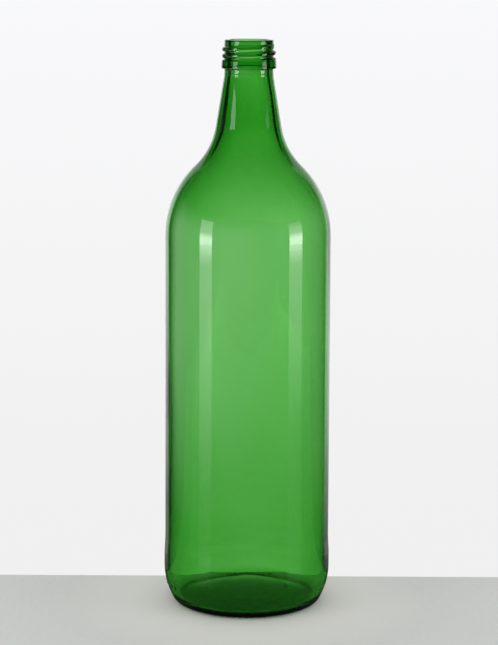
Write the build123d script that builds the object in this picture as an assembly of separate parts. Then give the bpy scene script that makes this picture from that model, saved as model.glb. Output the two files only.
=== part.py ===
"""One-piece blown glass bottle with a 28 mm screw finish, built as a single solid.

Frame: +Z up the bottle's axis, origin at the centre of its foot, -Y is the front.
Every length is in millimetres and every angle in degrees.
"""
import os
from math import acos, asin, atan2, cos, degrees, hypot, pi, radians, sin, sqrt

from build123d import *

os.makedirs("parts", exist_ok=True)

# ---- overall form
height = 292.5            # foot to lip
body_dia = 85.4           # straight body, just above the heel band
shoulder_dia = body_dia - 0.5    # straight body, where the shoulder starts
heel_band_dia = body_dia + 0.9   # contact band round the heel
heel_band_top, body_from = 26.0, 34.0   # the band slopes into the body between these heights
shoulder_wall, body_wall, heel_wall = 2.3, 2.45, 2.6

# ---- shoulder, flare and neck
shoulder_z = height - 99.7   # where the straight body ends
shoulder_radius = 49.7
flare_radius = 36.3
neck_slope = 0.165        # neck radius gained per millimetre going down
neck_top_z = height - 18.0   # top of the neck cone
neck_top_round = 8.0
inner_flare_radius = 40.9
inner_neck_slope = 0.131

# ---- 28 mm screw finish with a locking bead
finish_dia = 24.9         # wall between the threads
bore_dia = 18.3
bore_end_z = height - 16.6   # the straight bore runs from here to the lip
bore_end_round = 30.0
thread_dia = 27.4
thread_pitch = 3.38
thread_base = 2.8         # ridge width at the wall
thread_crest = 1.1        # ridge width at the crest
thread_right_z = height - 10.0   # ridge height where it passes +X for the first time
thread_turns = (-0.25, 2.12)   # start and end, in turns from +X
thread_fade = 0.33        # turns over which the upper end runs out
bead_dia, bead_top_dia = 28.1, 27.5
bead_from, bead_to = height - 14.7, height - 10.1
lip_round, mouth_round = 0.9, 1.2

# ---- heel, foot and base
heel_radius = 33.2        # large round from the band down to the foot
heel_flat = 2.36          # short straight between that round and the foot's
foot_dia = heel_band_dia - 18.1   # middle of the bearing ring
foot_land = 1.0           # flat width of the bearing ring
foot_round = 5.0
heel_reach = heel_radius - (heel_band_dia - foot_dia - foot_land) / 2
heel_z = foot_round + sqrt((heel_radius - foot_round) ** 2 + heel_flat ** 2 - heel_reach ** 2)
punt_round = 2.6          # inner edge of the bearing ring
punt_height = 4.2         # how far the base is pushed up
punt_disc_dia = 42.0      # shallow round step in the pushed-up base
punt_disc_step = 0.5
floor_height = 8.0        # inside floor above the foot, on the axis
floor_radius = 110.0
floor_corner_round = 5.0  # small round where the floor turns up into the heel

# ---- raised dots round the heel
dot_radius, dot_rise = 0.6, 0.35
dot_z = 10.7
dot_angles = (192, 203, 209, 307, 313, 132, 138, 144, 46, 52, 66)   # from +X towards +Y


def polar(centre, radius, angle):
    """Point on a circle of the (radius, height) plane, angle in radians."""
    return (centre[0] + radius * cos(angle), centre[1] + radius * sin(angle))


def arc(centre, radius, start, end):
    """Arc edge in the XZ plane between two angles in radians."""
    points = [polar(centre, radius, a) for a in (start, (start + end) / 2, end)]
    return ThreePointArc(*[(x, 0, z) for x, z in points])


def line(a, b):
    return Line((a[0], 0, a[1]), (b[0], 0, b[1]))


def crossing(centre_a, radius_a, centre_b, radius_b):
    """The point where two circles cross, on the right of the line from b to a."""
    gap = (centre_a[0] - centre_b[0], centre_a[1] - centre_b[1])
    away = hypot(*gap)
    along = (radius_b ** 2 - radius_a ** 2 + away ** 2) / (2 * away)
    aside = sqrt(radius_b ** 2 - along ** 2)
    ux, uz = gap[0] / away, gap[1] / away
    return (centre_b[0] + along * ux + aside * uz, centre_b[1] + along * uz - aside * ux)


def swan_neck(side, bend, start_z, flare, top_r, top_z, slope):
    """Side wall, convex shoulder, concave flare and neck cone, each tangent to the next.

    The flare's circle rolls down along the neck cone, at its own radius from it, until it
    touches the shoulder's circle. Returns the edges from the wall upwards.
    """
    n = hypot(1, slope)
    shoulder = (side - bend, start_z)
    down = (slope / n, -1 / n)
    gap = (top_r + flare / n - shoulder[0], top_z + flare * slope / n - shoulder[1])
    b = gap[0] * down[0] + gap[1] * down[1]
    c = gap[0] ** 2 + gap[1] ** 2 - (flare + bend) ** 2
    t = -b - sqrt(b * b - c)
    centre = (top_r + flare / n + t * down[0], top_z + flare * slope / n + t * down[1])
    join = atan2(centre[1] - shoulder[1], centre[0] - shoulder[0])
    cone = atan2(slope, 1) + pi
    cone_foot = polar(centre, flare, cone)
    return [arc(shoulder, bend, 0, join), arc(centre, flare, join + pi, cone),
            line(cone_foot, (top_r, top_z))]


def section():
    """The half section of the glass, as one face in the XZ plane."""
    shoulder_r, body_r, band_r = shoulder_dia / 2, body_dia / 2, heel_band_dia / 2
    finish_r, bore_r = finish_dia / 2, bore_dia / 2
    inner_top, inner_low, inner_band = shoulder_r - shoulder_wall, body_r - body_wall, band_r - heel_wall

    # underside: pushed-up dome, inner and outer edge of the bearing ring, heel
    inside, outside = foot_dia / 2 - foot_land / 2, foot_dia / 2 + foot_land / 2
    reach = (inside ** 2 + punt_height ** 2) / (2 * punt_height)
    dome_r = reach - punt_round
    dome = (0, punt_height - dome_r)
    meet = atan2(punt_round - dome[1], inside)
    step = acos(punt_disc_dia / 2 / dome_r)
    disc_r = dome_r + punt_disc_step
    heel, foot = (band_r - heel_radius, heel_z), (outside, foot_round)
    away = hypot(foot[0] - heel[0], foot[1] - heel[1])
    turn = atan2(foot[1] - heel[1], foot[0] - heel[0]) + acos((heel_radius - foot_round) / away)
    outer = [
        arc(dome, disc_r, pi / 2, step), line(polar(dome, disc_r, step), polar(dome, dome_r, step)),
        arc(dome, dome_r, step, meet),
        arc((inside, punt_round), punt_round, meet + pi, 3 * pi / 2),
        line((inside, 0), (outside, 0)),
        arc(foot, foot_round, -pi / 2, turn),
        line(polar(foot, foot_round, turn), polar(heel, heel_radius, turn)),
        arc(heel, heel_radius, turn, 0),
        line((band_r, heel_z), (band_r, heel_band_top)),
        line((band_r, heel_band_top), (body_r, body_from)),
        line((body_r, body_from), (shoulder_r, shoulder_z)),
    ]
    outer += swan_neck(shoulder_r, shoulder_radius, shoulder_z, flare_radius,
                       finish_r, neck_top_z, neck_slope)
    corners = [(finish_r, neck_top_z), (finish_r, bead_from), (bead_dia / 2, bead_from + 0.3),
               (bead_top_dia / 2, bead_to), (finish_r, bead_to), (finish_r, height), (bore_r, height),
               (bore_r, bore_end_z)]
    outer += [line(a, b) for a, b in zip(corners, corners[1:])]

    # inside: bore, neck, shoulder, wall and heel alongside the outside, domed floor
    inner = swan_neck(inner_top, shoulder_radius - shoulder_wall, shoulder_z, inner_flare_radius,
                      bore_r, bore_end_z, inner_neck_slope)
    inner_heel_r = heel_radius - heel_wall
    floor = (0, floor_height - floor_radius)
    corner = crossing(heel, inner_heel_r - floor_corner_round, floor, floor_radius + floor_corner_round)
    drop = atan2(corner[1] - heel[1], corner[0] - heel[0])
    rise = atan2(corner[1] - floor[1], corner[0])
    inner += [line((inner_top, shoulder_z), (inner_low, body_from)),
              line((inner_low, body_from), (inner_band, heel_band_top)),
              line((inner_band, heel_band_top), (inner_band, heel_z)),
              arc(heel, inner_heel_r, 0, drop), arc(corner, floor_corner_round, drop, rise - pi),
              arc(floor, floor_radius, rise, pi / 2),
              line((0, floor_height), polar(dome, disc_r, pi / 2))]

    face = make_face(Wire(outer + inner)).face()
    squeeze = min(1, (finish_r - bore_r - 0.3) / (lip_round + mouth_round))
    rounds = {(finish_r, neck_top_z): neck_top_round, (bore_r, bore_end_z): bore_end_round,
              (bead_dia / 2, bead_from + 0.3): 0.25, (bead_top_dia / 2, bead_to): 0.5,
              (finish_r, height): lip_round * squeeze, (bore_r, height): mouth_round * squeeze}
    for (x, z), radius in rounds.items():
        corner_point = face.vertices().sort_by_distance((x, 0, z))[0]
        face = face.fillet_2d(radius, [corner_point])
    return face


def thread():
    """Right-hand ridge round the finish: a trapezium swept up a helix, its upper end run out."""
    root, crest = finish_dia / 2 - 0.5, thread_dia / 2
    first, last = thread_turns
    path = Helix(thread_pitch, (last - first) * thread_pitch, finish_dia / 2)
    tip = thread_crest / 2
    half = tip + (thread_base / 2 - tip) * (crest - root) / (crest - finish_dia / 2)
    profile = make_face(Polyline((root, 0, -half), (crest, 0, -tip), (crest, 0, tip), (root, 0, half),
                                 close=True))
    ridge = sweep(profile, path, is_frenet=True)

    # upper end: a slightly off-centre cylinder lets the ridge sink into the wall
    start = (last - first - thread_fade) * 360
    shift = 0.66 * (crest - finish_dia / 2 + 0.1)
    keep_r = crest - shift * cos(radians(20)) + 0.05
    keep = Pos(*[shift * f(radians(start - 20)) for f in (cos, sin)], 0) * Cylinder(keep_r, 60)
    zone_z = (last - first - thread_fade / 2) * thread_pitch
    zone = Rot(0, 0, start) * Pos(0, 0, zone_z) * extrude(
        make_face(Polyline((0, 0, 0), (30, 0, 0), (30, 40, 0), (-20, 40, 0), close=True)),
        thread_pitch / 2, both=True)
    ridge -= zone - keep
    return Rot(0, 0, first * 360) * Pos(0, 0, thread_right_z + first * thread_pitch) * ridge


def heel_dots():
    """Small raised studs, square to the heel's outer skin."""
    tilt = asin((heel_z - dot_z) / heel_radius)
    seat = heel_band_dia / 2 - heel_radius
    stud = Cone(dot_radius + 0.3, dot_radius, dot_rise + 1.0, align=(Align.CENTER, Align.CENTER, Align.MAX))
    stud = Pos(seat, 0, heel_z) * Rot(0, 90 + degrees(tilt), 0) * Pos(0, 0, heel_radius + dot_rise) * stud
    return [Rot(0, 0, a) * stud for a in dot_angles]


bottle = revolve(section(), Axis.Z)
bottle += thread()
bottle += heel_dots()
bottle = bottle.solids().sort_by(SortBy.VOLUME)[-1]
bottle.label = "bottle"
export_step(bottle, "parts/bottle.step")
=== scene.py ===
"""A tall green glass bottle: one closed skin of clear container glass, its studio and its camera.

The bottle is one surface of revolution carried through the glass section, from the middle of the
underside, up the outside, over the lip and down the inside to the middle of the floor. On it lie
the screw thread, the mould seams, the knurled bearing ring, the raised code dots and the slight
unevenness of a blown wall. Lengths are in millimetres until a mesh is made.
"""
import math

import bpy
import numpy as np
from mathutils import Matrix


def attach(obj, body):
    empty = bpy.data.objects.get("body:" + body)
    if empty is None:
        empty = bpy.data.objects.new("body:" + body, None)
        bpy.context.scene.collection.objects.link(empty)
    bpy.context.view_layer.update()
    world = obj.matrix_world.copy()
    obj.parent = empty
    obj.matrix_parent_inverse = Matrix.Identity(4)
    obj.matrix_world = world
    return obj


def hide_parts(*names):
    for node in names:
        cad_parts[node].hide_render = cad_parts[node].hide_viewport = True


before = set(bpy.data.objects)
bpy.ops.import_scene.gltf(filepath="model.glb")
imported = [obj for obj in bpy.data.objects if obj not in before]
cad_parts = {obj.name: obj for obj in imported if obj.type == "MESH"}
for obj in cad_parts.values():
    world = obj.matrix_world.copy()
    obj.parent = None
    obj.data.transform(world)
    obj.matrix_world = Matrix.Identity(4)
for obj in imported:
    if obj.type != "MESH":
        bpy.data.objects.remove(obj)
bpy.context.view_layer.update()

MM = 0.001

# ---- sizes of the glass, the same as the CAD's
HEIGHT = 292.5
SIDE_TOP_R, SIDE_LOW_R, BAND_R = 42.45, 42.7, 43.15
BAND_TOP, BODY_FROM = 26.0, 34.0
SHOULDER_Z, SHOULDER_R, FLARE_R = 192.8, 49.7, 36.3
NECK_TOP_Z, NECK_SLOPE, NECK_TOP_ROUND = 274.5, 0.165, 8.0
SHOULDER_WALL, BODY_WALL, HEEL_WALL = 2.3, 2.45, 2.6
INNER_FLARE_R, INNER_SLOPE = 40.9, 0.131
FINISH_R, BORE_R, BORE_END_Z, BORE_END_ROUND = 12.45, 9.15, 275.9, 30.0
THREAD_R, THREAD_PITCH, THREAD_RIGHT_Z = 13.7, 3.38, 282.5
THREAD_BASE, THREAD_CREST = 2.9, 1.1
THREAD_START, THREAD_RISE = -0.30, 0.12     # turns from +X where it starts, and over which it rises
THREAD_END, THREAD_RUN_OUT = 2.12, 0.33     # turns from +X where it ends, and over which it runs out
BEAD_R, BEAD_TOP_R, BEAD_FROM, BEAD_TO = 14.05, 13.75, 277.8, 282.4
BEAD_SLANT, BEAD_TOP_SLANT = 0.3, 0.1
BEAD_ROUNDS = (0.3, 0.35, 0.6, 0.3)         # the bead's four corners, from below
LIP_ROUND, MOUTH_ROUND, LIP_PLAIN = 0.9, 1.2, 0.4   # no thread on the last stretch below the lip
HEEL_R, HEEL_Z, FOOT_IN, FOOT_OUT, FOOT_ROUND, PUNT_ROUND = 33.2, 18.9, 33.6, 34.6, 5.0, 2.6
PUNT_RISE, PUNT_DISC_R, PUNT_STEP = 4.2, 21.0, 0.5
PUNT_STEP_SOFT = 0.7      # half the width over which the disc steps up
FLOOR_Z, FLOOR_R, FLOOR_CORNER = 8.0, 110.0, 5.0
BAND_ROUND = 60.0         # the wall's two bends above the heel band

# ---- what lies on the skin, and how finely it is meshed
PARTING_Z, PARTING_RISE, PARTING_WIDTH = 275.1, 0.12, 0.28   # where the neck ring met the body mould
KNURLS, KNURL_DEEP, KNURL_TOP = 72, 0.35, 3.0
DOT_ANGLES, DOT_Z, DOT_RISE = (192, 203, 209, 307, 313, 132, 138, 144, 46, 52, 66), 10.7, 0.35
DOT_HALF_WIDTH, DOT_HALF_HEIGHT, DOT_REACH = 0.85, 1.2, 1.8
SEAMS = (6.0, 186.0)      # mould seams, degrees round from +X
SEAM_RISE, SEAM_WIDTH = 0.05, 0.35
WAVES = ((0.22, 1, 0.9, 1.3), (0.10, 2, 2.1, -5.0), (0.06, 3, -1.0, 9.0),
         (0.05, 5, 0.5, 6.0), (0.03, 9, 0.0, 17.0), (0.04, 2, 0.0, 30.0))   # see uneven_wall
NECK_BORE_ASIDE = 0.2     # the inside of the neck lies this far towards +X
COLUMNS = 240             # grid columns round the bottle; the heel and foot have twice as many
BASE_STEP, FINISH_STEP = 0.42, 0.24         # spacing of the rows where there is relief
BASE_PLAIN = 4            # one row in so many is kept where the heel is plain
OUTSIDE_ROWS, INSIDE_ROWS = 10.0, 7.0       # spacing of the rows on the straight wall
NECK_POINTS = (24, 18, 10)                  # on the shoulder, the flare and the neck cone
TAIL = 3.0                # how far the finish's and the bore's stretches run on down the neck cone
LEAST_STEP = 0.06         # rows closer than this are one row
AXIS_CLEAR = 0.05         # a row closer to the axis than this is a point

# ---- the studio: lengths in millimetres, angles in degrees
TABLE_FAR, TABLE_NEAR, TABLE_HALF, TABLE_THICK, TABLE_ROUND = 39.0, -700.0, 700.0, 18.0, 1.0
# the paper's own mottled tones, and a paler, warmer tone of painted light near the bottle
PAPER_DARK, PAPER_LIGHT, PAPER_PAINTED_LIT = "#C5C6C2", "#CFD0CC", "#DBDAD4"
PAINTED_LIGHT_REACH = (105.0, 50.0)      # distances from the axis between which painted light turns the paper paler
SOFTBOX_AWAY, SOFTBOX_STRENGTH = 876.0, 10.5
BRIGHT_FROM, BRIGHT_TO, BRIGHT = 55.0, 110.0, 0.78            # its bright part sets in here
DIM_RISE, DIM_TO, DIM_LOW, DIM_HIGH = 180.0, 70.0, 0.02, 0.22   # dim light from near its foot up
WEAKER_FROM, WEAKER_TO, WEAKER = 180.0, 260.0, 0.33          # and it weakens twice higher up
CROWN_FROM, CROWN_TO = 300.0, 420.0
SCREEN_R, SCREEN_FROM, SCREEN_TO, SCREEN_HALF, SCREEN_COLUMNS = 200.0, 1.0, 295.0, 150.0, 64
SCREEN_RIGHT, SCREEN_LEFT = 35.0, -50.0     # angles from the front, negative on the left
SCREEN_DIM, SCREEN_BRIGHT = 0.35, 1.2       # how bright it is at those two
SCREEN_BACK, SCREEN_FOOT, SCREEN_HEAD = (127.0, 100.0), (0.0, 120.0), (290.0, 200.0)   # dark to lit
HORIZON, SWEEP_LOW, SWEEP_HIGH = (-15.0, -1.0), "#F0F0F0", "#F9F9FB"
ROOM, WHITE = "#343434", "#FFFFFF"
MIRRORED_LEFT, MIRRORED_RIGHT = (-38.0, -31.0), (44.0, 36.0)   # the sweep, as the glass mirrors it
MIRRORED_DOWN, MIRRORED_UP, MIRRORED_TOP = (-0.32, -0.17), (0.22, 0.06), 0.55   # sines of the rise
CAMERA_AT, CAMERA_LENS, CAMERA_SHIFT = (0.6, -1070.0, 337.0), 117.4, -0.0373
CAMERA_PITCH, CAMERA_ROLL = 9.4, 0.28


# ---------------------------------------------------------------- profile of the glass
def arc(centre, radius, start, end, count):
    """Points on a circle: centre plus radius times (cosine, sine), the angle going evenly."""
    a = np.linspace(start, end, count)
    return np.c_[centre[0] + radius * np.cos(a), centre[1] + radius * np.sin(a)]


def run(a, b, count):
    """Points spaced evenly along a straight line from a to b."""
    t = np.linspace(0, 1, count)[:, None]
    return np.asarray(a) * (1 - t) + np.asarray(b) * t


def rounded(corners, radii, count=6):
    """A polyline with its corners turned to arcs.

    Each arc touches both sides at radius times the tangent of half the turn from the corner.
    """
    pts = [np.asarray([corners[0]], float)]
    for before, here, after, radius in zip(corners, corners[1:], corners[2:], radii):
        here = np.asarray(here, float)
        u, v = np.asarray(before) - here, np.asarray(after) - here
        u, v = u / np.hypot(*u), v / np.hypot(*v)
        half = math.acos(float(np.clip(u @ v, -1, 1))) / 2
        reach = radius / math.tan(half)
        middle = here + (u + v) / np.hypot(*(u + v)) * radius / math.sin(half)
        first, last = here + u * reach - middle, here + v * reach - middle
        a0, a1 = math.atan2(first[1], first[0]), math.atan2(last[1], last[0])
        a1 += 2 * math.pi * round((a0 - a1) / (2 * math.pi))
        pts.append(arc(middle, radius, a0, a1, count))
    return np.concatenate(pts + [np.asarray([corners[-1]], float)])


def swan_neck(side, bend, start_z, flare, top_r, top_z, slope, counts):
    """Shoulder arc, flare arc and neck cone, each tangent to the next, from the wall upwards.

    The flare's circle rolls down along the cone until it touches the shoulder's circle.
    """
    n = math.hypot(1, slope)
    down = np.array([slope, -1]) / n
    shoulder = np.array([side - bend, start_z])
    gap = np.array([top_r, top_z]) + flare / n * np.array([1, slope]) - shoulder
    b = gap @ down
    t = -b - math.sqrt(b * b - gap @ gap + (flare + bend) ** 2)
    centre = shoulder + gap + t * down
    join = math.atan2(*(centre - shoulder)[::-1])
    cone = math.atan2(slope, 1) + math.pi
    foot = centre + flare * np.array([math.cos(cone), math.sin(cone)])
    return [arc(shoulder, bend, 0, join, counts[0]), arc(centre, flare, join + math.pi, cone, counts[1]),
            run(foot, (top_r, top_z), counts[2])]


def crossing(centre_a, radius_a, centre_b, radius_b):
    """The point where two circles cross, on the right of the line from b to a."""
    gap = np.subtract(centre_a, centre_b)
    away = float(np.hypot(*gap))
    along = (radius_b ** 2 - radius_a ** 2 + away ** 2) / (2 * away)
    aside = math.sqrt(radius_b ** 2 - along ** 2)
    return np.asarray(centre_b) + along * gap / away + aside * np.array([gap[1], -gap[0]]) / away


def join_runs(runs):
    """One polyline from several, without the doubled end points."""
    pts = np.concatenate(runs)
    keep = np.r_[True, np.hypot(*np.diff(pts, axis=0).T) > 1e-4]
    return pts[keep]


def thin_out(points, step):
    """The same polyline, resampled so that its points lie about one step apart along it."""
    length = np.r_[0, np.cumsum(np.hypot(*np.diff(points, axis=0).T))]
    at = np.linspace(0, length[-1], max(2, int(round(length[-1] / step)) + 1))
    return np.c_[np.interp(at, length, points[:, 0]), np.interp(at, length, points[:, 1])]


def rows_along(points, step):
    """Points about one step of height apart along a polyline, without its last point."""
    counts = [1 + max(1, int(abs(rise) // step)) for rise in np.diff(points[:, 1])]
    return np.concatenate([run(a, b, n)[:-1] for a, b, n in zip(points[:-1], points[1:], counts)])


def section():
    """The profile as named stretches, in order from the underside's middle to the floor's."""
    reach = (FOOT_IN ** 2 + PUNT_RISE ** 2) / (2 * PUNT_RISE)
    dome_r = reach - PUNT_ROUND
    dome = (0.0, PUNT_RISE - dome_r)
    meet = math.atan2(PUNT_ROUND - dome[1], FOOT_IN)
    edge = math.acos(PUNT_DISC_R / dome_r)
    soft = PUNT_STEP_SOFT / dome_r
    under = join_runs([arc(dome, dome_r + PUNT_STEP, math.pi / 2, edge + soft, 16),
                       arc(dome, dome_r, edge - soft, meet, 10)])
    heel, foot = (BAND_R - HEEL_R, HEEL_Z), (FOOT_OUT, FOOT_ROUND)
    away = math.hypot(foot[0] - heel[0], foot[1] - heel[1])
    turn = math.atan2(foot[1] - heel[1], foot[0] - heel[0]) + math.acos((HEEL_R - FOOT_ROUND) / away)
    base = join_runs([arc((FOOT_IN, PUNT_ROUND), PUNT_ROUND, meet + math.pi, 1.5 * math.pi, 40),
                      run((FOOT_IN, 0), (FOOT_OUT, 0), 10),
                      arc(foot, FOOT_ROUND, -math.pi / 2, turn, 40), arc(heel, HEEL_R, turn, 0, 80)])
    base = thin_out(base, BASE_STEP)
    relief = (base[:, 1] < KNURL_TOP + 0.2) | (np.abs(base[:, 1] - DOT_Z) < DOT_REACH)
    row = np.arange(len(base))
    base = base[relief | (row % BASE_PLAIN == 0) | (row == len(base) - 1)]
    body = rows_along(rounded([(BAND_R, HEEL_Z), (BAND_R, BAND_TOP), (SIDE_LOW_R, BODY_FROM),
                               (SIDE_TOP_R, SHOULDER_Z)], [BAND_ROUND, BAND_ROUND], 7), OUTSIDE_ROWS)
    cone_end = (FINISH_R + TAIL * NECK_SLOPE, NECK_TOP_Z - TAIL)
    neck = swan_neck(SIDE_TOP_R, SHOULDER_R, SHOULDER_Z, FLARE_R, *cone_end, NECK_SLOPE, NECK_POINTS)
    finish = rounded([cone_end, (FINISH_R, NECK_TOP_Z), (FINISH_R, BEAD_FROM),
                      (BEAD_R, BEAD_FROM + BEAD_SLANT), (BEAD_TOP_R, BEAD_TO),
                      (FINISH_R, BEAD_TO + BEAD_TOP_SLANT),
                      (FINISH_R, HEIGHT), (BORE_R, HEIGHT), (BORE_R, BORE_END_Z)],
                     [NECK_TOP_ROUND, *BEAD_ROUNDS, LIP_ROUND, MOUTH_ROUND], 7)
    lip = int(np.argmax(finish[:, 1] > HEIGHT - LIP_ROUND - 0.05))
    mouth = len(finish) - 1
    finish = np.r_[thin_out(finish[:lip + 1], FINISH_STEP), finish[lip + 1:mouth]]

    top_r, low_r, band_r = SIDE_TOP_R - SHOULDER_WALL, SIDE_LOW_R - BODY_WALL, BAND_R - HEEL_WALL
    bore_end = (BORE_R + TAIL * INNER_SLOPE, BORE_END_Z - TAIL)
    inside = swan_neck(top_r, SHOULDER_R - SHOULDER_WALL, SHOULDER_Z, INNER_FLARE_R, *bore_end,
                       INNER_SLOPE, NECK_POINTS)
    bore = rounded([(BORE_R, HEIGHT - MOUTH_ROUND), (BORE_R, BORE_END_Z), bore_end], [BORE_END_ROUND], 8)
    side = rows_along(rounded([(top_r, SHOULDER_Z), (low_r, BODY_FROM), (band_r, BAND_TOP),
                               (band_r, HEEL_Z)], [BAND_ROUND, BAND_ROUND], 7), INSIDE_ROWS)
    floor, inner_heel = (0.0, FLOOR_Z - FLOOR_R), HEEL_R - HEEL_WALL
    corner = crossing(heel, inner_heel - FLOOR_CORNER, floor, FLOOR_R + FLOOR_CORNER)
    drop = math.atan2(corner[1] - heel[1], corner[0] - heel[0])
    rise = math.atan2(corner[1] - floor[1], corner[0])
    inner = join_runs([p[::-1] for p in inside[::-1]] + [
        side, arc(heel, inner_heel, 0, drop, 16), arc(corner, FLOOR_CORNER, drop, rise - math.pi, 10),
        arc(floor, FLOOR_R, rise, math.pi / 2, 14)])
    return {"under": under, "base": base, "body": body, "neck": join_runs(neck),
            "finish": finish, "bore": bore, "inner": inner}


# ---------------------------------------------------------------- relief on the skin
def smooth(x):
    """Rises from 0 to 1 without a kink: x squared times three less two x, x held to 0..1."""
    x = np.clip(x, 0, 1)
    return x * x * (3 - 2 * x)


def fade(value, start, end):
    """0 where the value is at the start or before it, and 1, smoothly, at the end or past it."""
    return smooth((value - start) / (end - start))


def thread_height(theta, z):
    """Ridge height of the right-hand thread at each angle and height.

    The ridge's middle climbs one pitch a turn. Across it the height is a smoothed trapezium,
    and along it the ridge sinks into the bead below and runs out over a third of a turn above.
    """
    best = np.zeros(np.broadcast(theta, z).shape)
    for turn in range(math.floor(THREAD_START), math.ceil(THREAD_END)):
        along = theta / (2 * np.pi) + turn
        off = np.abs(z - THREAD_RIGHT_Z - THREAD_PITCH * along)
        ridge = smooth((THREAD_BASE / 2 - off) / (THREAD_BASE / 2 - THREAD_CREST / 2))
        ends = (fade(along, THREAD_START, THREAD_START + THREAD_RISE)
                * fade(along, THREAD_END, THREAD_END - THREAD_RUN_OUT))
        best = np.maximum(best, ridge * ends)
    return best * (THREAD_R - FINISH_R)


def seam_height(theta, radius):
    """Two fine ridges where the mould's halves met: a bell curve of the distance round."""
    total = 0
    for at in np.radians(SEAMS):
        off = (np.abs((theta - at + np.pi) % (2 * np.pi) - np.pi)) * radius
        total = total + np.exp(-(off / SEAM_WIDTH) ** 2)
    return total


def dot_height(theta, z):
    """Raised code dots on the heel, 0 to 1: each a round-topped oval.

    Its height is 1 less the squared distance from its middle, to the power of one and a half.
    """
    total = 0
    for angle in DOT_ANGLES:
        off = ((theta - math.radians(angle) + np.pi) % (2 * np.pi) - np.pi) * BAND_R
        d2 = (off / DOT_HALF_WIDTH) ** 2 + ((z - DOT_Z) / DOT_HALF_HEIGHT) ** 2
        total = total + np.clip(1 - d2, 0, 1) ** 1.5
    return np.clip(total, 0, 1)


def uneven_wall(theta, z):
    """How far a blown wall strays from true, in millimetres: a few long waves added together.

    Each wave has a size, a count of crests round the bottle, a phase, and the radians by which
    it turns from the foot to the lip.
    """
    return sum(size * np.sin(crests * theta + phase + twist * z / HEIGHT)
               for size, crests, phase, twist in WAVES)


# ---------------------------------------------------------------- the glass as one closed mesh
def sheet_points(profile, theta, stretch):
    """The stretch's grid: radius and height from the profile, turned through every angle.

    Relief is added along the radius, or along the height on the bearing ring. The wall's
    thickness varies on its inside: a little thinner below the shoulder, stouter from there to
    the neck and low down, and even at the floor and in the bore.
    """
    r, z = profile[:, 0][:, None], profile[:, 1][:, None]
    t = theta[None, :]
    r, z = (np.broadcast_to(v, (len(profile), len(theta))).copy() for v in (r, z))
    if stretch == "finish":
        outside = r > BORE_R + MOUTH_ROUND
        ridge = FINISH_R + thread_height(t, z)
        threaded = outside & (z > BEAD_FROM) & (z < HEIGHT - LIP_PLAIN)
        r = np.where(threaded, np.maximum(r, ridge), r)
        r = r + PARTING_RISE * np.exp(-((z - PARTING_Z) / PARTING_WIDTH) ** 2) * outside
    if stretch == "base":
        knurl = 0.5 - 0.5 * np.cos(KNURLS * t)
        ring = fade(r, FOOT_IN - 1.4, FOOT_IN - 0.4) * fade(r, FOOT_OUT + 3.0, FOOT_OUT + 1.8)
        z = z + KNURL_DEEP * knurl * ring * (z < KNURL_TOP)
        dots = DOT_RISE * dot_height(t, z)
        lean = np.arcsin(np.clip((HEEL_Z - z) / HEEL_R, 0, 1))
        r, z = r + dots * np.cos(lean), z - dots * np.sin(lean)
    if stretch == "neck":
        r = r + SEAM_RISE * seam_height(t, r)
    if stretch == "inner":
        level = fade(z, 14, 54) * fade(z, HEIGHT - 12, HEIGHT - 72) * fade(r, 0, 20)
        thin = 0.12 * fade(z, 40, 160) * fade(z, 230, 190)
        stout = 0.55 * fade(z, 204, 226) * fade(z, 250, 230) + 0.12 * fade(z, 110, 50)
        r = r + (uneven_wall(t, z) + thin - stout) * level
    x, y = r * np.cos(t), r * np.sin(t)
    if stretch == "inner":
        x = x + NECK_BORE_ASIDE * fade(z, 232, 247) * fade(z, BORE_END_Z, BORE_END_Z - 15)
    return np.stack([x, y, z], axis=-1)


def bottle_mesh():
    """All stretches stacked into rows and sewn together, and closed at the axis at both ends.

    A row of the heel and foot has twice the columns, so where the count changes each cell is
    sewn as three triangles.
    """
    coarse = np.arange(COLUMNS) * 2 * np.pi / COLUMNS
    fine = np.arange(2 * COLUMNS) * np.pi / COLUMNS
    rows = []
    for name, profile in section().items():
        grid = sheet_points(profile, fine if name == "base" else coarse, name)
        rows += [grid[k] for k in range(len(grid))]
    top = rows[0][:, 2].mean()
    first, last = np.array([[0, 0, top]]), np.array([[0, 0, rows[-1][:, 2].mean()]])
    rows = [row for row in rows if np.hypot(row[0, 0], row[0, 1]) > AXIS_CLEAR]
    cleaned = [rows[0]]
    for row in rows[1:]:
        if np.abs(row[0] - cleaned[-1][0]).max() > LEAST_STEP:
            cleaned.append(row)
    rows = cleaned

    starts = np.cumsum([1] + [len(row) for row in rows])
    verts = np.concatenate([first] + rows + [last])
    faces = []
    for k, (low, high) in enumerate(zip(rows[:-1], rows[1:])):
        a, b = starts[k], starts[k + 1]
        if len(low) == len(high):
            i = np.arange(len(low))
            j = (i + 1) % len(low)
            faces.append(np.c_[a + i, a + j, b + j])
            faces.append(np.c_[a + i, b + j, b + i])
            continue
        i = np.arange(COLUMNS)
        j = (i + 1) % COLUMNS
        if len(high) > len(low):
            c, m, d = b + 2 * i, b + 2 * i + 1, b + 2 * j
            faces += [np.c_[a + i, m, c], np.c_[a + i, a + j, m], np.c_[a + j, d, m]]
        else:
            c, m, d = a + 2 * i, a + 2 * i + 1, a + 2 * j
            faces += [np.c_[c, m, b + i], np.c_[m, b + j, b + i], np.c_[m, d, b + j]]
    i = np.arange(len(rows[0]))
    j = (i + 1) % len(rows[0])
    faces.append(np.c_[np.zeros_like(i), starts[0] + j, starts[0] + i])
    i = np.arange(len(rows[-1]))
    j = (i + 1) % len(rows[-1])
    faces.append(np.c_[starts[-2] + i, starts[-2] + j, np.full_like(i, len(verts) - 1)])
    return verts * MM, np.concatenate(faces)


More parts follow.
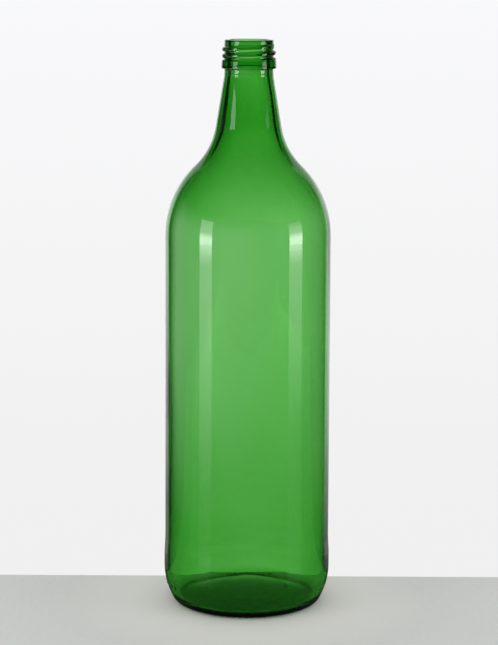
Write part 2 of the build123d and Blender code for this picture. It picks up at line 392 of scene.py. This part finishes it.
def add_mesh(name, verts, faces):
    """A mesh object from two arrays, put in with foreach_set, shaded smooth."""
    mesh = bpy.data.meshes.new(name)
    size = faces.shape[1]
    mesh.vertices.add(len(verts))
    mesh.vertices.foreach_set("co", verts.astype(np.float32).ravel())
    mesh.loops.add(faces.size)
    mesh.loops.foreach_set("vertex_index", faces.astype(np.int32).ravel())
    mesh.polygons.add(len(faces))
    mesh.polygons.foreach_set("loop_start", (np.arange(len(faces)) * size).astype(np.int32))
    mesh.update(calc_edges=True)
    mesh.validate()
    mesh.polygons.foreach_set("use_smooth", np.ones(len(mesh.polygons), dtype=bool))
    piece = bpy.data.objects.new(name, mesh)
    bpy.context.scene.collection.objects.link(piece)
    return piece


# ---------------------------------------------------------------- materials
def hex_linear(code):
    """An sRGB hex colour as linear numbers."""
    srgb = np.array([int(code[k:k + 2], 16) for k in (1, 3, 5)]) / 255
    linear = np.where(srgb <= 0.04045, srgb / 12.92, ((srgb + 0.055) / 1.055) ** 2.4)
    return (*linear.tolist(), 1.0)


def add_node(tree, kind, settings=None, inputs=None):
    """A node with its settings, and its inputs set to a number or colour or linked to a socket."""
    node = tree.nodes.new(kind)
    for key, value in (settings or {}).items():
        setattr(node, key, value)
    for key, value in (inputs or {}).items():
        if isinstance(value, bpy.types.NodeSocket):
            tree.links.new(value, node.inputs[key])
        else:
            node.inputs[key].default_value = value
    return node


def add_product(tree, first, *others):
    """The product of several sockets or numbers, as a socket."""
    for other in others:
        first = add_node(tree, "ShaderNodeMath", {"operation": "MULTIPLY"}, {0: first, 1: other}).outputs[0]
    return first


def add_ramp(tree, value, start, end, low=0.0, high=1.0, kind="SMOOTHSTEP"):
    """A socket that goes from low to high while the value goes from start to end, and stays there."""
    return add_node(tree, "ShaderNodeMapRange", {"interpolation_type": kind}, {
        "Value": value, "From Min": start, "From Max": end, "To Min": low, "To Max": high}).outputs[0]


def add_place(tree, kind="Object"):
    """The X, Y and Z sockets of a point on the piece or, for the world, of a direction."""
    place = add_node(tree, "ShaderNodeTexCoord").outputs[kind]
    return add_node(tree, "ShaderNodeSeparateXYZ", inputs={"Vector": place}).outputs


def new_material(name):
    material = bpy.data.materials.new(name)
    material.use_nodes = True
    material.node_tree.nodes.clear()
    return material, material.node_tree


def container_glass():
    """Soda-lime container glass coloured with chromium, blown in an iron mould and fire-polished.

    Clear, IOR 1.52. Red and blue are taken up several times faster than green, so a thin wall is
    spring green and the thick base bottle green. Fire polishing leaves a gloss with a faint
    orange peel: swells about 9 mm apart and about 2 hundredths of a millimetre high.
    """
    material, tree = new_material("container_glass_green_blown")
    place = add_node(tree, "ShaderNodeTexCoord").outputs["Object"]
    peel = add_node(tree, "ShaderNodeTexNoise", inputs={
        "Vector": place, "Scale": 1 / (9 * MM), "Detail": 1.0, "Roughness": 0.4})
    bump = add_node(tree, "ShaderNodeBump", inputs={
        "Height": peel.outputs["Fac"], "Strength": 0.35, "Distance": 0.06 * MM})
    shader = add_node(tree, "ShaderNodeBsdfPrincipled", inputs={
        "Base Color": hex_linear("#FDFFFD"), "Roughness": 0.0, "IOR": 1.52, "Transmission Weight": 1.0,
        "Normal": bump.outputs["Normal"]})
    take_up = add_node(tree, "ShaderNodeVolumeAbsorption", inputs={
        "Color": (0.21, 0.742, 0.10, 1.0), "Density": 600.0})
    add_node(tree, "ShaderNodeOutputMaterial", inputs={
        "Surface": shader.outputs[0], "Volume": take_up.outputs[0]})
    return material


def table_paper():
    """Matt pale grey studio paper: diffuse, with a faint mottle of its fibres.

    Close to the bottle the paper is painted paler and warmer. This painted light stands in for the little
    light that reaches the paper through the glass.
    """
    material, tree = new_material("studio_paper_grey_matt")
    place = add_node(tree, "ShaderNodeTexCoord").outputs["Object"]
    fibre = add_node(tree, "ShaderNodeTexNoise", inputs={
        "Vector": place, "Scale": 1 / (3 * MM), "Detail": 3.0})
    tone = add_node(tree, "ShaderNodeMix", {"data_type": "RGBA"}, {
        "Factor": fibre.outputs["Fac"], "A": hex_linear(PAPER_DARK), "B": hex_linear(PAPER_LIGHT)})
    # painted light: towards the bottle the paper is mixed to the paler, warmer tone
    away = add_node(tree, "ShaderNodeVectorMath", {"operation": "LENGTH"}, {0: place})
    near = add_ramp(tree, away.outputs["Value"], *np.multiply(PAINTED_LIGHT_REACH, MM))
    painted_glow = add_node(tree, "ShaderNodeMix", {"data_type": "RGBA"}, {
        "Factor": near, "A": tone.outputs["Result"], "B": hex_linear(PAPER_PAINTED_LIT)})
    shader = add_node(tree, "ShaderNodeBsdfPrincipled", inputs={
        "Base Color": painted_glow.outputs["Result"], "Roughness": 0.9})
    add_node(tree, "ShaderNodeOutputMaterial", inputs={"Surface": shader.outputs[0]})
    return material


# ---------------------------------------------------------------- studio
def lay_table():
    """The table's top, a thin slab with its rounded far edge just behind the bottle."""
    a = np.linspace(0, np.pi / 2, 6)
    rim = np.c_[TABLE_FAR - TABLE_ROUND + TABLE_ROUND * np.sin(a), -TABLE_ROUND + TABLE_ROUND * np.cos(a)]
    near, far = [[TABLE_NEAR, -TABLE_THICK], [TABLE_NEAR, 0.0]], [[TABLE_FAR, -TABLE_THICK]]
    line = np.concatenate([near, rim, far])
    left, right = (np.c_[np.full(len(line), side * TABLE_HALF), line] for side in (-1, 1))
    verts = np.concatenate([left, right]) * MM
    n = len(line)
    i = np.arange(n)
    j = (i + 1) % n
    table = add_mesh("table_top", verts, np.c_[i, j, j + n, i + n])
    table.data.polygons.foreach_set("use_smooth", np.zeros(len(table.data.polygons), dtype=bool))
    table.data.materials.append(table_paper())
    table.visible_glossy = False


def softbox(name, azimuth, half_width, low, high, crown):
    """A tall softbox to one side of the camera, seen in reflections and never in view itself.

    It is brightest a little above the table, dim below that, and weaker upwards: the crown is
    what is left of its light at the top. The azimuth and half width are degrees.
    """
    az = np.radians(azimuth)
    middle = np.array([np.sin(az), -np.cos(az)]) * SOFTBOX_AWAY
    side = np.array([np.cos(az), np.sin(az)]) * SOFTBOX_AWAY * math.tan(math.radians(half_width))
    left, right = middle - side, middle + side
    corners = np.array([[*left, low], [*right, low], [*right, high], [*left, high]])
    card = add_mesh(name, corners * MM, np.array([[0, 1, 2, 3]]))
    material, tree = new_material(name + "_cloth_lit")
    height = add_place(tree)["Z"]
    bright = add_ramp(tree, height, BRIGHT_FROM * MM, BRIGHT_TO * MM, 0.0, BRIGHT)
    dim = add_ramp(tree, height, (low + DIM_RISE) * MM, DIM_TO * MM, DIM_LOW, DIM_HIGH, "LINEAR")
    both = add_node(tree, "ShaderNodeMath", {"operation": "ADD"}, {0: bright, 1: dim}).outputs[0]
    weaker = add_ramp(tree, height, WEAKER_FROM * MM, WEAKER_TO * MM, 1.0, WEAKER, "LINEAR")
    top = add_ramp(tree, height, CROWN_FROM * MM, CROWN_TO * MM, 1.0, crown, "LINEAR")
    lit = add_node(tree, "ShaderNodeEmission", inputs={
        "Color": hex_linear(WHITE), "Strength": add_product(tree, both, weaker, top, SOFTBOX_STRENGTH)})
    add_node(tree, "ShaderNodeOutputMaterial", inputs={"Surface": lit.outputs[0]})
    card.data.materials.append(material)
    card.visible_camera = False
    card.visible_transmission = False
    card.visible_shadow = False


def reflector():
    """A pale screen curved round the front, close to the bottle and seen only in its glass.

    It adds a soft haze to what is mirrored there and lets what lies behind it through. It is
    brighter on the left, and fades out towards the back, the table and its own upper edge.
    """
    a = np.radians(np.linspace(-SCREEN_HALF, SCREEN_HALF, SCREEN_COLUMNS))
    ring = np.c_[SCREEN_R * np.sin(a), -SCREEN_R * np.cos(a)]
    low, high = (np.c_[ring, np.full(SCREEN_COLUMNS, z)] for z in (SCREEN_FROM, SCREEN_TO))
    i = np.arange(SCREEN_COLUMNS - 1)
    faces = np.c_[i, i + 1, i + 1 + SCREEN_COLUMNS, i + SCREEN_COLUMNS]
    screen = add_mesh("reflector", np.concatenate([low, high]) * MM, faces)
    material, tree = new_material("reflector_cloth_pale")
    place = add_place(tree)
    forward = add_product(tree, place["Y"], -1.0)
    turn = add_node(tree, "ShaderNodeMath", {"operation": "ARCTAN2"}, {
        0: place["X"], 1: forward}).outputs[0]
    aside = add_node(tree, "ShaderNodeMath", {"operation": "ABSOLUTE"}, {0: turn}).outputs[0]
    depth = add_node(tree, "ShaderNodeLightPath").outputs["Glossy Depth"]
    mirrored = add_node(tree, "ShaderNodeMath", {"operation": "GREATER_THAN"}, {0: depth, 1: 0.5}).outputs[0]
    power = add_product(
        tree, mirrored,
        add_ramp(tree, turn, *np.radians([SCREEN_RIGHT, SCREEN_LEFT]), SCREEN_DIM, SCREEN_BRIGHT),
        add_ramp(tree, aside, *np.radians(SCREEN_BACK)),
        add_ramp(tree, place["Z"], *np.multiply(SCREEN_FOOT, MM), kind="LINEAR"),
        add_ramp(tree, place["Z"], *np.multiply(SCREEN_HEAD, MM)))
    lit = add_node(tree, "ShaderNodeEmission", inputs={"Color": hex_linear(WHITE), "Strength": power})
    clear = add_node(tree, "ShaderNodeBsdfTransparent")
    both = add_node(tree, "ShaderNodeAddShader", inputs={0: lit.outputs[0], 1: clear.outputs[0]})
    add_node(tree, "ShaderNodeOutputMaterial", inputs={"Surface": both.outputs[0]})
    screen.data.materials.append(material)
    screen.visible_camera = False
    screen.visible_diffuse = False
    screen.visible_shadow = False


def studio_world():
    """A white sweep behind the bottle in a dim room.

    Seen directly or straight through the glass the surround is the white sweep on every side.
    Light that has been mirrored by the glass meets the sweep only near its middle, less of it
    upwards and none of it steeply downwards, and otherwise the dim room, which draws the dark
    lines along the glass's edges.
    """
    world = bpy.data.worlds.new("studio")
    bpy.context.scene.world = world
    world.use_nodes = True
    tree = world.node_tree
    tree.nodes.clear()
    way = add_place(tree, "Generated")
    rise = add_ramp(tree, way["Z"], *np.sin(np.radians(HORIZON)), kind="LINEAR")
    sweep = add_node(tree, "ShaderNodeMix", {"data_type": "RGBA"}, {
        "Factor": rise, "A": hex_linear(SWEEP_LOW), "B": hex_linear(SWEEP_HIGH)}).outputs["Result"]
    around = add_node(tree, "ShaderNodeMath", {"operation": "ARCTAN2"}, {
        0: way["X"], 1: way["Y"]}).outputs[0]
    middle = add_product(
        tree, add_ramp(tree, around, *np.radians(MIRRORED_LEFT)),
        add_ramp(tree, around, *np.radians(MIRRORED_RIGHT)),
        add_ramp(tree, way["Z"], *MIRRORED_DOWN), add_ramp(tree, way["Z"], *MIRRORED_UP, MIRRORED_TOP, 1.0))
    room = add_node(tree, "ShaderNodeMix", {"data_type": "RGBA"}, {
        "Factor": middle, "A": hex_linear(ROOM), "B": sweep}).outputs["Result"]
    path = add_node(tree, "ShaderNodeLightPath").outputs
    mirrored = add_node(tree, "ShaderNodeMath", {"operation": "GREATER_THAN"}, {
        0: path["Glossy Depth"], 1: 0.5}).outputs[0]
    sharp = add_node(tree, "ShaderNodeMath", {"operation": "LESS_THAN"}, {
        0: path["Diffuse Depth"], 1: 0.5}).outputs[0]
    light = add_node(tree, "ShaderNodeMix", {"data_type": "RGBA"}, {
        "Factor": add_product(tree, mirrored, sharp), "A": sweep, "B": room}).outputs["Result"]
    background = add_node(tree, "ShaderNodeBackground", inputs={"Color": light, "Strength": 1.0})
    add_node(tree, "ShaderNodeOutputWorld", inputs={"Surface": background.outputs[0]})
    world.cycles.sampling_method = "NONE"


def set_camera():
    """A long lens a little over a metre away, just above the lip, looking slightly down."""
    data = bpy.data.cameras.new("camera")
    data.sensor_width = 36.0
    data.lens = CAMERA_LENS
    data.shift_y = CAMERA_SHIFT
    camera = bpy.data.objects.new("camera", data)
    camera.location = np.multiply(CAMERA_AT, MM).tolist()
    camera.rotation_mode = "XYZ"
    tilt = math.radians(90 - CAMERA_PITCH)
    camera.matrix_world = (Matrix.Translation(camera.location) @ Matrix.Rotation(tilt, 4, "X")
                           @ Matrix.Rotation(math.radians(CAMERA_ROLL), 4, "Z"))
    bpy.context.scene.collection.objects.link(camera)
    bpy.context.scene.camera = camera


# ---------------------------------------------------------------- the scene
verts, faces = bottle_mesh()
bottle = add_mesh("glass_bottle", verts, faces)
bottle.data.materials.append(container_glass())
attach(bottle, "root")
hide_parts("bottle")

lay_table()
softbox("softbox_left", -59.2, 9.7, -340.0, 455.0, 0.8)
softbox("softbox_right", 68.2, 10.9, -270.0, 425.0, 0.2)
reflector()
studio_world()
set_camera()
bpy.context.scene.view_settings.view_transform = "Standard"
